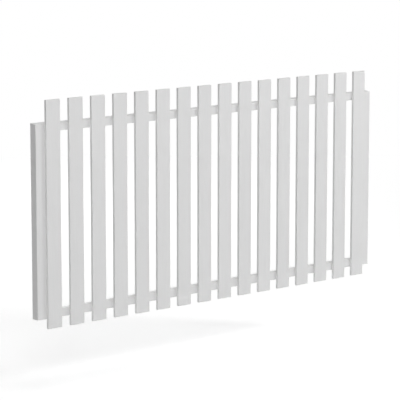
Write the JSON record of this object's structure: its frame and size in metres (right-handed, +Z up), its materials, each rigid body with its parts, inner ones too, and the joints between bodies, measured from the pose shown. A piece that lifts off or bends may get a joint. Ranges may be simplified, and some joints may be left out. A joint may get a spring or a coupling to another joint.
{
  "type": "picket fence panel",
  "caption": "White-painted timber picket panel: flat, square-topped upright pickets fixed on the face of a jointed frame of rails and end stiles.",
  "frame": {"origin": "middle of the left stile's outer side, the flat face that is fastened to a post", "axes": "+X along the panel to the right stile, +Y from the picket side to the back, +Z up"},
  "size_m": [1.8, 0.046, 0.9],
  "materials": {
    "painted_frame": "planed softwood under white exterior satin paint",
    "painted_picket": "planed softwood under white exterior satin paint"
  },
  "bodies": {
    "root": {"left_stile": "painted_frame", "right_stile": "painted_frame", "top_rail": "painted_frame", "bottom_rail": "painted_frame", "picket_01": "painted_picket", "picket_02": "painted_picket", "picket_03": "painted_picket", "picket_04": "painted_picket", "picket_05": "painted_picket", "picket_06": "painted_picket", "picket_07": "painted_picket", "picket_08": "painted_picket", "picket_09": "painted_picket", "picket_10": "painted_picket", "picket_11": "painted_picket", "picket_12": "painted_picket", "picket_13": "painted_picket", "picket_14": "painted_picket", "picket_15": "painted_picket", "picket_16": "painted_picket"}
  },
  "joints": []
}
